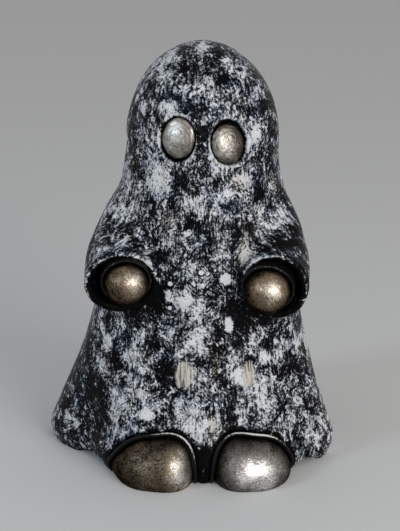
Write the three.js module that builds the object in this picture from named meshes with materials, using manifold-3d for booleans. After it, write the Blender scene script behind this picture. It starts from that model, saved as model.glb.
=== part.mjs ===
// Ghost figurine in hand-built clay, in millimetres.
// A hollow robe stands on its hem, with an eye in each socket of its face and a foot under each arch of its hem.
// A sleeve is joined to each side of the robe, round an arm roll that carries a ball-shaped hand.
// +Z is up and the ghost looks along -Y, so its own right side is on -X. Angles are in degrees. An angle round the
// robe is counted from straight ahead, with the ghost's left side positive.

import * as THREE from "three";
import { mergeVertices } from "three/addons/utils/BufferGeometryUtils.js";
import Module from "manifold-3d";

const wasm = await Module();
wasm.setup();

// Whole figure
const crownHeight = 120; // top of the head above the table
const clearance = 0.3; // gap left between two pieces that touch

// Robe, at six levels of its outer face. ahead and behind are its reach from its own axis, shift is that axis's place
// on X, and turn is how far the oval is turned round it.
const hem = { height: 5.5, width: 83, ahead: 29.2, behind: 35, shift: -0.2, turn: -8 };
const skirt = { height: 19, width: 73.2, ahead: 26.8, behind: 29.6, shift: 0.6, turn: -4 };
const waist = { height: 40, width: 61, ahead: 23.8, behind: 25.2, shift: 1.8, turn: 0 };
const chest = { height: 61, width: 53, ahead: 21.8, behind: 22.4, shift: 2.6, turn: 0 };
const neck = { height: 80, width: 46, ahead: 20.4, behind: 20.6, shift: 3.4, turn: 0 };
const brow = { height: 93, width: 42.8, ahead: 19.4, behind: 19.4, shift: 3.6, turn: 0 };
const wall = 4.6; // clay between the outer face and the hollow
const hemTuck = 1.9; // how far the lower edge rolls in under the hem's fullest line

// Folds: out is how far a fold stands out at the hem, or goes in where negative, and top is where it dies away
const foldFade = 1.5; // power by which a fold dies away upwards
const folds = [
  { angle: -100, spread: 9, out: 1.4, top: 40 },
  { angle: -69, spread: 13, out: -5.4, top: 42 },
  { angle: -32, spread: 9, out: 1.0, top: 58 },
  { angle: -12, spread: 5, out: -0.9, top: 62 },
  { angle: 8, spread: 6, out: 0.9, top: 56 },
  { angle: 24, spread: 5, out: -0.9, top: 62 },
  { angle: 38, spread: 7, out: 1.1, top: 66 },
  { angle: 58, spread: 8, out: -1.8, top: 42 },
  { angle: 80, spread: 9, out: 1.2, top: 40 },
  { angle: 122, spread: 11, out: -1.8, top: 60 },
  { angle: 150, spread: 11, out: 1.6, top: 66 },
  { angle: 178, spread: 10, out: -1.6, top: 70 },
  { angle: -152, spread: 11, out: 1.4, top: 66 },
  { angle: -127, spread: 10, out: -1.6, top: 60 },
];

// Scoops beside the feet, where the hem is lifted off the table
const scoopReach = 11.5; // in and out from the hem's edge, so that a scoop goes right through the wall
const scoops = [
  { angle: -67, length: 13, rise: 1.8 },
  { angle: 65, length: 9, rise: 2.0 },
];

// Eyes: domed ovals set in shallow sockets in the face
const eye = { width: 9.9, height: 12.2, bulge: 2.4, rim: 0.9 };
const socketDepth = 2.2;
const socketGap = 0.6; // dark line round each eye
const rightEye = { angle: -21, height: 96.4, tilt: -4 };
const leftEye = { angle: 22, height: 95.6, tilt: 6 };

// Sleeves: each starts in the shoulder, sink mm inside the robe's face, and arcs down to a mouth that faces forward
// and a little down. The middle of the mouth stands out mm off the robe's face.
const sleeveWall = 1.9; // clay at the lip of the mouth
const shoulderWidth = 17; // across the sleeve where it leaves the shoulder
const shoulderSlope = { out: 0.62, ahead: 0.3, down: 0.72 }; // way in which a sleeve leaves the shoulder
const sleeveEase = 0.42; // share of the way from shoulder to mouth over which each end keeps its direction
const mouthDroop = 14;
const rightSleeve = {
  side: -1,
  shoulder: { angle: -87, height: 81, sink: 10.6 },
  mouth: { angle: -43.7, height: 57.2, out: 6.2 },
  width: 20.6,
  height: 19.4,
  turnIn: 5,
};
const leftSleeve = {
  side: 1,
  shoulder: { angle: 86, height: 80, sink: 11 },
  mouth: { angle: 43.3, height: 56.2, out: 6.0 },
  width: 19.0,
  height: 21.0,
  turnIn: 8,
};

// Hands: balls held by the arms' cupped ends, placed from the middle of the mouth: out of it, towards the ghost's
// middle, and up
const rightHand = { diameter: 11.8, reach: 3.4, inward: 1.1, rise: 1.4 };
const leftHand = { diameter: 12.6, reach: 3.4, inward: 1.5, rise: 0.4 };
const armWall = 0.75; // ring of the cup round the hand
const cupDepth = 1.2; // how far the cup's edge stays behind the middle of the hand
const armBend = 11; // straight stretch of the arm behind the hand
const armStart = 0.35; // share of the sleeve's middle line at which the arm starts

// Hem rolls: thin coils that trim the arch over each foot
const rollDiameter = 1.3;
const archGap = 0.45; // from a foot's face to the arch over it, and to the roll
const tongue = { x: 4, width: 0.5 }; // strip of the robe between the two rolls

// Feet: flattened eggs with a flat sole, leaning outwards, set behind the hem's front by sink
const rightFoot = { side: -1, width: 24.5, length: 20, height: 12.4, middle: 3.4, sink: 3, splay: -17, lean: -10 };
const leftFoot = { side: 1, width: 22.3, length: 20.4, height: 12.3, middle: 3.4, sink: 3.3, splay: 12, lean: 10 };

// Facets
const robeSides = 54;
const robeRingGap = 5.5;
const robeHemRings = [0, 0.12, 0.3, 0.6, 1]; // as shares of the hem's height
const hollowSides = 36;
const hollowRingGap = 11;
const hollowHemRings = [0, 0.5, 1];
const crownRings = 7;
const eyeSides = 28;
const eyeRings = 5;
const sleeveSides = 26;
const sleeveSteps = 12;
const mouthSteps = 4;
const armSides = 22;
const armSteps = 7;
const ballSides = 22;
const ballRings = 14;
const rollSides = 8;
const archSteps = 22;
const archLegs = [0.5, 0, -0.8]; // rings of a roll's legs, as shares of the height of the foot's middle

const levels = [hem, skirt, waist, chest, neck, brow];
const overcut = 1; // how far a cutter reaches past the face that it opens
const front = new THREE.Vector3(0, -1, 0);
const up = new THREE.Vector3(0, 0, 1);
const rad = THREE.MathUtils.degToRad;

// Solids and meshes

// A closed geometry as a solid, with its faces turned outwards.
function solidFrom(geometry) {
  const bare = geometry.index ? geometry.toNonIndexed() : geometry.clone();
  bare.deleteAttribute("normal");
  bare.deleteAttribute("uv");
  const merged = mergeVertices(bare, 1e-4);
  const corners = merged.index.array;
  const kept = [];
  for (let i = 0; i < corners.length; i += 3) {
    const [a, b, c] = [corners[i], corners[i + 1], corners[i + 2]];
    if (a !== b && b !== c && c !== a) kept.push(a, b, c);
  }
  const solidOf = (order) =>
    new wasm.Manifold(
      new wasm.Mesh({
        numProp: 3,
        vertProperties: new Float32Array(merged.attributes.position.array),
        triVerts: new Uint32Array(order),
      }),
    );
  const solid = solidOf(kept);
  return solid.volume() > 0 ? solid : solidOf(kept.reverse());
}

// The piece itself, without the slivers that meeting cutters leave.
function mainBody(solid) {
  return solid.decompose().reduce((a, b) => (b.volume() > a.volume() ? b : a));
}

function piece(name, solid, material) {
  const shape = mainBody(solid).getMesh();
  const geometry = new THREE.BufferGeometry();
  geometry.setAttribute("position", new THREE.BufferAttribute(new Float32Array(shape.vertProperties), 3));
  geometry.setIndex(new THREE.BufferAttribute(new Uint32Array(shape.triVerts), 1));
  const faceted = geometry.toNonIndexed();
  faceted.computeVertexNormals();
  const mesh = new THREE.Mesh(faceted, material);
  mesh.name = name;
  return mesh;
}

// A stack of rings, with the place of each point given by place(angle, step). The first and last step close on a point.
function skin(sides, steps, place) {
  const profile = [];
  for (let i = 0; i <= steps; i++) profile.push(new THREE.Vector2(i === 0 || i === steps ? 0 : 1, i));
  const geometry = new THREE.LatheGeometry(profile, sides);
  const position = geometry.attributes.position;
  for (let i = 0; i < position.count; i++) {
    const angle = Math.atan2(position.getX(i), position.getZ(i));
    const spot = place(angle, Math.round(position.getY(i)));
    position.setXYZ(i, spot.x, spot.y, spot.z);
  }
  return solidFrom(geometry);
}

// A tube of oval rings along a curve. size(share) gives half its width and half its height.
function ovalTube(sides, steps, spotAt, facingAt, size) {
  return skin(sides, steps + 2, (angle, step) => {
    const share = THREE.MathUtils.clamp((step - 1) / steps, 0, 1);
    const spot = spotAt(share);
    if (step === 0 || step === steps + 2) return spot;
    const facing = facingAt(share);
    const sideways = facing.clone().cross(up).normalize();
    const upright = sideways.clone().cross(facing);
    const [half, tall] = size(share);
    return spot
      .addScaledVector(sideways, half * Math.sin(angle))
      .addScaledVector(upright, tall * Math.cos(angle));
  });
}

// Everything below the table top
function underTable() {
  const size = 4 * crownHeight;
  const box = new THREE.BoxGeometry(size, size, size);
  box.translate(0, 0, -size / 2);
  return solidFrom(box);
}

// Robe

// One measure of the robe at a height, on a smooth curve through its levels.
function measure(key, height) {
  const z = THREE.MathUtils.clamp(height, hem.height, brow.height);
  const last = levels.length - 1;
  let i = 0;
  while (i < last - 1 && z > levels[i + 1].height) i++;
  const slope = (k) => {
    if (k === last) return 0;
    const low = levels[Math.max(k - 1, 0)];
    const high = levels[k + 1];
    return (high[key] - low[key]) / (high.height - low.height);
  };
  const span = levels[i + 1].height - levels[i].height;
  const t = (z - levels[i].height) / span;
  const rise = t * t * (3 - 2 * t);
  return (
    levels[i][key] * (1 - rise) +
    levels[i + 1][key] * rise +
    span * slope(i) * t * (1 - t) ** 2 -
    span * slope(i + 1) * t ** 2 * (1 - t)
  );
}

function foldReach(angle, height) {
  let reach = 0;
  for (const fold of folds) {
    const away = THREE.MathUtils.euclideanModulo(THREE.MathUtils.radToDeg(angle) - fold.angle + 180, 360) - 180;
    const fade = THREE.MathUtils.clamp((fold.top - height) / (fold.top - hem.height), 0, 1);
    reach += fold.out * Math.exp(-0.5 * (away / fold.spread) ** 2) * fade ** foldFade;
  }
  return reach;
}

// Distance from the robe's axis to its outer face, or to a face that lies inset inside it.
function robeRadius(angle, height, inset) {
  const dome = (height - brow.height) / (crownHeight - inset - brow.height);
  const share = dome > 0 ? Math.sqrt(Math.max(0, 1 - dome ** 2)) : 1;
  const turned = angle - rad(measure("turn", height));
  const half = (measure("width", height) / 2 - inset) * share;
  const reach = (measure(Math.cos(turned) > 0 ? "ahead" : "behind", height) - inset) * share;
  const oval = 1 / Math.hypot(Math.sin(turned) / half, Math.cos(turned) / reach);
  const below = THREE.MathUtils.clamp(1 - height / hem.height, 0, 1);
  return oval + foldReach(angle, height) - hemTuck * (1 - Math.sqrt(1 - below ** 2));
}

function robePoint(angle, height, inset = 0) {
  const radius = robeRadius(angle, height, inset);
  return new THREE.Vector3(
    measure("shift", height) + radius * Math.sin(angle),
    -radius * Math.cos(angle),
    height,
  );
}

// Heights of the robe's rings, from under the table, close together where the hem rolls in, to the crown.
function robeHeights(inset, hemShares, ringGap) {
  const heights = [-overcut - Math.abs(inset)];
  for (const share of hemShares) heights.push(hem.height * share);
  for (let i = 1; i < levels.length; i++) {
    const [low, high] = [levels[i - 1].height, levels[i].height];
    const parts = Math.ceil((high - low) / ringGap);
    for (let k = 1; k <= parts; k++) heights.push(low + ((high - low) * k) / parts);
  }
  const dome = crownHeight - inset - brow.height;
  for (let i = 1; i < crownRings; i++) heights.push(brow.height + dome * Math.sin(((Math.PI / 2) * i) / crownRings));
  return heights;
}

function robeBody(inset, sides, hemShares, ringGap) {
  const heights = robeHeights(inset, hemShares, ringGap);
  return skin(sides, heights.length + 1, (angle, step) => {
    if (step === 0) return new THREE.Vector3(hem.shift, 0, heights[0]);
    if (step > heights.length) return new THREE.Vector3(brow.shift, 0, crownHeight - inset);
    return robePoint(angle, heights[step - 1], inset);
  });
}

// The robe's outer shape, swollen by a margin.
function robeOutside(margin) {
  return robeBody(-margin, robeSides, robeHemRings, robeRingGap);
}

function robeHollow() {
  return robeBody(wall, hollowSides, hollowHemRings, hollowRingGap);
}

function hemScoop(scoop) {
  const ball = new THREE.SphereGeometry(1, ballSides, ballRings);
  ball.scale(scoop.length / 2, scoopReach, scoop.rise);
  ball.rotateZ(rad(scoop.angle));
  const edge = robePoint(rad(scoop.angle), 0);
  ball.translate(edge.x, edge.y, 0);
  return solidFrom(ball);
}

// Eyes

// An eye and its socket share one placement: local +Z points out of the face, from the robe's outer face.
function eyePlacement(side) {
  const step = 0.5;
  const angle = rad(side.angle);
  const across = robePoint(angle + rad(step), side.height).sub(robePoint(angle - rad(step), side.height));
  const along = robePoint(angle, side.height + step).sub(robePoint(angle, side.height - step));
  const outward = across.cross(along).normalize();
  const sideways = up.clone().cross(outward).normalize();
  return new THREE.Matrix4()
    .makeBasis(sideways, outward.clone().cross(sideways), outward)
    .setPosition(robePoint(angle, side.height))
    .multiply(new THREE.Matrix4().makeRotationZ(rad(side.tilt)));
}

function eyeSocket(side) {
  const length = socketDepth + overcut;
  const cutter = new THREE.CylinderGeometry(1, 1, length, eyeSides);
  cutter.rotateX(Math.PI / 2);
  cutter.translate(0, 0, overcut - length / 2);
  cutter.scale(eye.width / 2 + socketGap, eye.height / 2 + socketGap, 1);
  return solidFrom(cutter.applyMatrix4(eyePlacement(side)));
}

function eyeDome(side) {
  const profile = [new THREE.Vector2(0, 0), new THREE.Vector2(1, 0)];
  for (let i = 0; i <= eyeRings; i++) {
    const turn = ((Math.PI / 2) * i) / eyeRings;
    const outer = i === eyeRings ? 0 : Math.cos(turn);
    profile.push(new THREE.Vector2(outer, eye.rim + (eye.bulge - eye.rim) * Math.sin(turn)));
  }
  const dome = new THREE.LatheGeometry(profile, eyeSides);
  dome.rotateX(Math.PI / 2);
  dome.scale(eye.width / 2, eye.height / 2, 1);
  dome.translate(0, 0, clearance - socketDepth);
  return solidFrom(dome.applyMatrix4(eyePlacement(side)));
}

// Feet

// Each foot's inner side lies beside its hem roll, so the foot's middle follows from its own width.
function footMiddle(foot) {
  const splay = rad(foot.splay);
  const half = Math.hypot((foot.width / 2) * Math.cos(splay), (foot.length / 2) * Math.sin(splay));
  const inner = tongue.width / 2 + 2 * clearance + rollDiameter + archGap;
  const x = tongue.x + foot.side * (inner + half);
  const front = robePoint(Math.atan2(x - hem.shift, hem.ahead), foot.middle);
  return new THREE.Vector3(x, front.y + foot.sink, foot.middle);
}

// Takes a ball of radius 1 to a foot, swollen by a margin.
function footPlacement(foot, margin) {
  const half = new THREE.Vector3(foot.width / 2, foot.length / 2, foot.height - foot.middle).addScalar(margin);
  return new THREE.Matrix4()
    .setPosition(footMiddle(foot))
    .multiply(new THREE.Matrix4().makeRotationZ(rad(foot.splay)))
    .multiply(new THREE.Matrix4().makeRotationY(rad(foot.lean)))
    .multiply(new THREE.Matrix4().makeScale(half.x, half.y, half.z));
}

function footEgg(foot, margin = 0) {
  const egg = new THREE.SphereGeometry(1, ballSides, ballRings);
  egg.rotateX(Math.PI / 2);
  return solidFrom(egg.applyMatrix4(footPlacement(foot, margin)));
}

// Hem rolls

// Bisects for the value between low and high where inside(value) stops being true.
function edgeOf(low, high, inside) {
  const halvings = 40;
  for (let i = 0; i < halvings; i++) {
    const middle = (low + high) / 2;
    if (inside(middle)) low = middle;
    else high = middle;
  }
  return low;
}

// Line on the robe's outer face that goes over a foot at a margin, from under the table to under the table.
function archLine(foot, margin) {
  const middle = footMiddle(foot);
  const centre = Math.atan2(middle.x - hem.shift, -middle.y);
  const toFoot = footPlacement(foot, margin).invert();
  const within = (angle, height) => robePoint(angle, height).applyMatrix4(toFoot).length() < 1;
  const [start, end] = [-1, 1].map(
    (way) => centre + way * edgeOf(0, Math.PI / 2, (step) => within(centre + way * step, foot.middle)),
  );
  const points = [];
  for (let i = 0; i <= archSteps; i++) {
    const share = (1 - Math.cos((Math.PI * i) / archSteps)) / 2;
    const angle = start + (end - start) * share;
    const height = edgeOf(foot.middle, 2 * foot.height, (z) => within(angle, z));
    points.push(robePoint(angle, height));
  }
  for (const share of archLegs) {
    points.unshift(robePoint(start, foot.middle * share));
    points.push(robePoint(end, foot.middle * share));
  }
  return points;
}

function hemRoll(foot, margin = 0) {
  const radius = rollDiameter / 2;
  const section = new THREE.Shape();
  section.absarc(0, 0, radius + margin, 0, 2 * Math.PI);
  return solidFrom(
    new THREE.ExtrudeGeometry(section, {
      steps: archSteps + 4 * archLegs.length,
      curveSegments: rollSides / 2,
      bevelEnabled: false,
      extrudePath: new THREE.CatmullRomCurve3(archLine(foot, radius + archGap), false, "centripetal"),
    }),
  );
}

// Sleeves, arms and hands

// Way the sleeve's mouth faces
function mouthFacing(sleeve) {
  return front
    .clone()
    .applyAxisAngle(new THREE.Vector3(1, 0, 0), rad(mouthDroop))
    .applyAxisAngle(up, -sleeve.side * rad(sleeve.turnIn));
}

function mouthMiddle(sleeve) {
  return robePoint(rad(sleeve.mouth.angle), sleeve.mouth.height, -sleeve.mouth.out);
}

// Middle line of the sleeve: it leaves the shoulder outwards and down, and ends square to its mouth.
function sleeveArc(sleeve) {
  const shoulder = robePoint(rad(sleeve.shoulder.angle), sleeve.shoulder.height, sleeve.shoulder.sink);
  const mouth = mouthMiddle(sleeve);
  const pull = shoulder.distanceTo(mouth) * sleeveEase;
  const slope = new THREE.Vector3(sleeve.side * shoulderSlope.out, -shoulderSlope.ahead, -shoulderSlope.down);
  slope.normalize();
  return new THREE.CubicBezierCurve3(
    shoulder,
    shoulder.clone().addScaledVector(slope, pull),
    mouth.clone().addScaledVector(mouthFacing(sleeve), -pull),
    mouth,
  );
}

function sleeveBody(sleeve) {
  const arc = sleeveArc(sleeve);
  const half = (full, share) => THREE.MathUtils.lerp(shoulderWidth, full, share * share * (3 - 2 * share)) / 2;
  return ovalTube(
    sleeveSides,
    sleeveSteps,
    (share) => arc.getPoint(share),
    (share) => arc.getTangent(share),
    (share) => [half(sleeve.width, share), half(sleeve.height, share)],
  );
}

function handMiddle(sleeve, hand) {
  const inward = new THREE.Vector3(-sleeve.side * hand.inward, 0, hand.rise);
  return mouthMiddle(sleeve).addScaledVector(mouthFacing(sleeve), hand.reach).add(inward);
}

// Middle of the ring where the arm's cup ends
function wristMiddle(sleeve, hand) {
  return handMiddle(sleeve, hand).addScaledVector(mouthFacing(sleeve), -cupDepth);
}

function armRadius(hand, margin) {
  return hand.diameter / 2 + clearance + armWall + margin;
}

// Hollow of the sleeve's mouth, which narrows from the lip to the arm
function mouthHollow(sleeve, hand) {
  const facing = mouthFacing(sleeve);
  const inner = wristMiddle(sleeve, hand).addScaledVector(facing, -2 * cupDepth - hand.reach);
  const outer = mouthMiddle(sleeve).addScaledVector(facing, overcut);
  const snug = armRadius(hand, clearance);
  const half = (full, share) => THREE.MathUtils.lerp(snug, full / 2 - sleeveWall, Math.sqrt(share));
  return ovalTube(
    sleeveSides,
    mouthSteps,
    (share) => inner.clone().lerp(outer, share),
    () => facing,
    (share) => [half(sleeve.width, share), half(sleeve.height, share)],
  );
}

function armRoll(sleeve, hand, margin = 0) {
  const wrist = wristMiddle(sleeve, hand);
  const path = new THREE.QuadraticBezierCurve3(
    sleeveArc(sleeve).getPoint(armStart),
    wrist.clone().addScaledVector(mouthFacing(sleeve), -armBend),
    wrist,
  );
  const thick = armRadius(hand, margin);
  return ovalTube(
    armSides,
    armSteps,
    (share) => path.getPoint(share),
    (share) => path.getTangent(share),
    () => [thick, thick],
  );
}

function handBall(sleeve, hand, margin = 0) {
  const ball = new THREE.SphereGeometry(hand.diameter / 2 + margin, ballSides, ballRings);
  ball.translate(...handMiddle(sleeve, hand));
  return solidFrom(ball);
}

// Materials
const paintedClay = new THREE.MeshStandardMaterial({ color: 0x3c3e43, roughness: 0.45, metalness: 0 });
const blackClay = new THREE.MeshStandardMaterial({ color: 0x17150f, roughness: 0.35, metalness: 0 });
const silverPaint = new THREE.MeshStandardMaterial({ color: 0xa39d94, roughness: 0.35, metalness: 0.9 });
const bronzePaint = new THREE.MeshStandardMaterial({ color: 0x93805f, roughness: 0.35, metalness: 0.9 });
const pewterPaint = new THREE.MeshStandardMaterial({ color: 0x9c9182, roughness: 0.35, metalness: 0.9 });

// Assembly
const ghost = new THREE.Group();
const table = underTable();
const robeZone = robeOutside(clearance);

let robe = robeOutside(0).subtract(robeHollow());
for (const side of [rightEye, leftEye]) robe = robe.subtract(eyeSocket(side));
for (const foot of [rightFoot, leftFoot]) {
  robe = robe.subtract(footEgg(foot, archGap));
  robe = robe.subtract(hemRoll(foot, clearance));
}
for (const scoop of scoops) robe = robe.subtract(hemScoop(scoop));
ghost.add(piece("robe", robe.subtract(table), paintedClay));

const sides = {
  right: { face: rightEye, sleeve: rightSleeve, hand: rightHand, foot: rightFoot },
  left: { face: leftEye, sleeve: leftSleeve, hand: leftHand, foot: leftFoot },
};
for (const [name, { face, sleeve, hand, foot }] of Object.entries(sides)) {
  let cuff = sleeveBody(sleeve).subtract(mouthHollow(sleeve, hand));
  cuff = cuff.subtract(armRoll(sleeve, hand, clearance)).subtract(robeZone);
  const arm = armRoll(sleeve, hand).subtract(handBall(sleeve, hand, clearance)).subtract(robeZone);
  ghost.add(piece(`${name}_eye`, eyeDome(face), silverPaint));
  ghost.add(piece(`${name}_sleeve`, cuff, paintedClay));
  ghost.add(piece(`${name}_arm`, arm, blackClay));
  ghost.add(piece(`${name}_hand`, handBall(sleeve, hand), bronzePaint));
  ghost.add(piece(`${name}_foot`, footEgg(foot).subtract(table), pewterPaint));
  ghost.add(piece(`${name}_hem_roll`, hemRoll(foot).subtract(table), blackClay));
}

// The origin is on the table, under the middle of the whole figure.
const footprint = new THREE.Box3().setFromObject(ghost).getCenter(new THREE.Vector3());
for (const mesh of ghost.children) mesh.position.set(-footprint.x, -footprint.y, 0);

export default ghost;
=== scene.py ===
"""Ghost figurine of hand-built clay: a hollow robe with bell sleeves, ball hands, oval eyes and two feet.

Shapes are modelled in millimetres, +Z up, with the ghost facing -Y, and go to metres when a piece is
finished. The ghost's own right side is on -X. An angle round the robe is counted from straight ahead, and its
left side is positive.
"""

import math

import bmesh
import bpy
import numpy as np
from mathutils import Euler, Matrix, Vector, geometry, noise


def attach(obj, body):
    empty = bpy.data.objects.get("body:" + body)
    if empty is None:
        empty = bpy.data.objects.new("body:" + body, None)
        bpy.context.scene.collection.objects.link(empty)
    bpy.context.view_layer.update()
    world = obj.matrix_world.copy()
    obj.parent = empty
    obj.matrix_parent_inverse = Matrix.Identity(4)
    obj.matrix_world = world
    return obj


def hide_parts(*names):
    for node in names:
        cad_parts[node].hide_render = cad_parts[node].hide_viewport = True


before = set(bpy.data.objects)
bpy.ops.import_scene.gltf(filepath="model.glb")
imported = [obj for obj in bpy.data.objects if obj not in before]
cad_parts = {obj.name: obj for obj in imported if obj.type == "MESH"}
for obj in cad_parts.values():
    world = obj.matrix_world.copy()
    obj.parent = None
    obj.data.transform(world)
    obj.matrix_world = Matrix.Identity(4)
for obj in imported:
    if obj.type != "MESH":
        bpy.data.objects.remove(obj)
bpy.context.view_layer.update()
mm = 0.001

# Camera
# It stands 450 mm from the ghost, 18 degrees above level and straight in front, and looks a little past it,
# so that the ghost is left of the middle of the picture.
camera = bpy.data.objects.new("camera", bpy.data.cameras.new("camera"))
camera.data.lens = 106
looks_at = Vector((2.9, 0, 55)) * mm
distance = 450 * mm
elevation = math.radians(18)
camera.location = looks_at + distance * Vector((0, -math.cos(elevation), math.sin(elevation)))
camera.rotation_euler = (math.pi / 2 - elevation, 0, 0)
bpy.context.scene.collection.objects.link(camera)
bpy.context.scene.camera = camera

# Robe
# One hollow shell of clay for head, body and skirt, flared to a hem that falls in soft folds. The bell
# sleeves are luted to it and smoothed over until no seam shows. Black clay, dabbed with white.
crown = 120
hem = {"height": 5.5, "width": 83, "ahead": 29.2, "behind": 35, "shift": -0.2, "turn": -8}
skirt = {"height": 19, "width": 73.2, "ahead": 26.8, "behind": 29.6, "shift": 0.6, "turn": -4}
waist = {"height": 40, "width": 61, "ahead": 23.8, "behind": 25.2, "shift": 1.8, "turn": 0}
chest = {"height": 61, "width": 53, "ahead": 21.8, "behind": 22.4, "shift": 2.6, "turn": 0}
neck = {"height": 80, "width": 46, "ahead": 20.4, "behind": 20.6, "shift": 3.4, "turn": 0}
brow = {"height": 93, "width": 42.8, "ahead": 19.4, "behind": 19.4, "shift": 3.6, "turn": 0}
levels = [hem, skirt, waist, chest, neck, brow]
wall = 4.6
hem_tuck = 1.9
under_table = -4

# Folds of the skirt: angle, spread in degrees, reach at the hem and the height where it dies away
folds = [
    (-100, 9, 1.4, 40),
    (-69, 13, -5.4, 42),
    (-32, 9, 1.0, 58),
    (-12, 5, -0.9, 62),
    (8, 6, 0.9, 56),
    (24, 5, -0.9, 62),
    (38, 7, 1.1, 66),
    (58, 8, -1.8, 42),
    (80, 9, 1.2, 40),
    (122, 11, -1.8, 60),
    (150, 11, 1.6, 66),
    (178, 10, -1.6, 70),
    (-152, 11, 1.4, 66),
    (-127, 10, -1.6, 60),
]


def measure(key, height):
    """One measure of the robe at a height, on a smooth curve through its levels."""
    z = min(max(height, hem["height"]), brow["height"])
    last = len(levels) - 1
    i = 0
    while i < last - 1 and z > levels[i + 1]["height"]:
        i += 1
    low, high = levels[i], levels[i + 1]
    span = high["height"] - low["height"]

    def slope(k):
        if k == last:
            return 0
        below, above = levels[max(k - 1, 0)], levels[k + 1]
        return (above[key] - below[key]) / (above["height"] - below["height"])

    t = (z - low["height"]) / span
    rise = t * t * (3 - 2 * t)
    bend = slope(i) * t * (1 - t) ** 2 - slope(i + 1) * t**2 * (1 - t)
    return low[key] * (1 - rise) + high[key] * rise + span * bend


def fold_reach(angle, height):
    """How far the folds push the robe's face out at a place."""
    reach = 0
    for at, spread, out, top in folds:
        away = (math.degrees(angle) - at + 180) % 360 - 180
        fade = min(max((top - height) / (top - hem["height"]), 0), 1)
        reach += out * math.exp(-0.5 * (away / spread) ** 2) * fade**1.5
    return reach


def robe_point(angle, height, inset=0):
    """A point of the robe's outer face, or of a face that lies inset inside it."""
    dome = (height - brow["height"]) / (crown - inset - brow["height"])
    share = math.sqrt(max(0, 1 - dome**2)) if dome > 0 else 1
    turned = angle - math.radians(measure("turn", height))
    half = (measure("width", height) / 2 - inset) * share
    reach = (measure("ahead" if math.cos(turned) > 0 else "behind", height) - inset) * share
    oval = 0 if share == 0 else 1 / math.hypot(math.sin(turned) / half, math.cos(turned) / reach)
    below = min(max(1 - height / hem["height"], 0), 1)
    radius = oval + fold_reach(angle, height) - hem_tuck * (1 - math.sqrt(1 - below**2))
    return Vector((measure("shift", height) + radius * math.sin(angle), -radius * math.cos(angle), height))


def ball_to(place, sides, rings):
    """A ball whose points are carried to place(angle, ring), from its top at ring 0 to its bottom."""
    bm = bmesh.new()
    bmesh.ops.create_uvsphere(bm, u_segments=sides, v_segments=rings, radius=1)
    for v in bm.verts:
        ring = round(math.acos(min(max(v.co.z, -1), 1)) / math.pi * rings)
        v.co = place(math.atan2(v.co.x, -v.co.y), ring)
    return bm


def lump(name, bm):
    """The finished shape as an object of its own, with its faces outwards."""
    bmesh.ops.recalc_face_normals(bm, faces=bm.faces)
    if bm.calc_volume(signed=True) < 0:
        bmesh.ops.reverse_faces(bm, faces=bm.faces)
    mesh = bpy.data.meshes.new(name)
    bm.to_mesh(mesh)
    bm.free()
    made = bpy.data.objects.new(name, mesh)
    bpy.context.scene.collection.objects.link(made)
    return made


def work(piece, tools=(), voxel=0, smoothing=0):
    """Joins ("UNION") or cuts ("DIFFERENCE") other lumps, which are used up, then remeshes and smooths."""
    for way, tool in tools:
        cut = piece.modifiers.new(way, "BOOLEAN")
        cut.operation = way
        cut.solver = "MANIFOLD"
        cut.object = tool
    if voxel:
        remesh = piece.modifiers.new("remesh", "REMESH")
        remesh.mode = "VOXEL"
        remesh.voxel_size = voxel
    if smoothing:
        smooth = piece.modifiers.new("smooth", "SMOOTH")
        smooth.factor = 0.5
        smooth.iterations = smoothing
    bpy.context.view_layer.update()
    worked = bpy.data.meshes.new_from_object(piece.evaluated_get(bpy.context.evaluated_depsgraph_get()))
    piece.modifiers.clear()
    piece.data = worked
    for _, tool in tools:
        bpy.data.objects.remove(tool)
    return piece


def robe_skin(inset, sides, ring_gap):
    """The robe's outer face, or an inner one, closed under the table."""
    peak = crown - inset
    dome = peak - brow["height"]
    heights = [peak - dome * (1 - math.sin(math.radians(a))) for a in range(84, 0, -6)]
    step = brow["height"]
    while step > under_table:
        heights.append(step)
        step -= ring_gap
    heights.append(under_table - abs(inset))
    top = Vector((brow["shift"], 0, peak))
    bottom = Vector((hem["shift"], 0, heights[-1]))

    def place(angle, ring):
        if ring == 0:
            return top
        return robe_point(angle, heights[ring - 1], inset) if ring <= len(heights) else bottom

    return ball_to(place, sides, len(heights) + 1)


# Sleeves, which start in the shoulder, inside the robe's face, and arc down to a mouth that faces forward. A
# shoulder or mouth is given by its angle, its height and how far it lies inside the robe's face.
sleeve_wall = 1.9
lip_radius = 1.15
shoulder_width = 17
shoulder_slope = Vector((0.62, -0.3, -0.72)).normalized()
sleeve_ease = 0.42
mouth_droop = math.radians(14)
right_sleeve = {
    "side": -1,
    "shoulder": (-87, 81, 10.6),
    "mouth": (-43.7, 57.2, -6.2),
    "width": 20.6,
    "height": 19.4,
    "turn_in": 5,
    "hand": {"diameter": 11.8, "reach": 3.4, "inward": 1.1, "rise": 1.4},
}
left_sleeve = {
    "side": 1,
    "shoulder": (86, 80, 11),
    "mouth": (43.3, 56.2, -6.0),
    "width": 19.0,
    "height": 21.0,
    "turn_in": 8,
    "hand": {"diameter": 12.6, "reach": 3.4, "inward": 1.5, "rise": 0.4},
}
sleeves = {"right": right_sleeve, "left": left_sleeve}
arm_wall = 0.75
cup_depth = 1.2
arm_bend = 11
arm_start = 0.35
slack = 0.3


def facing_of(sleeve):
    """Way the sleeve's mouth faces."""
    turned = Euler((mouth_droop, 0, -sleeve["side"] * math.radians(sleeve["turn_in"])))
    return Vector((0, -1, 0)) @ turned.to_matrix().transposed()


def on_robe(place):
    angle, height, inset = place
    return robe_point(math.radians(angle), height, inset)


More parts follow.
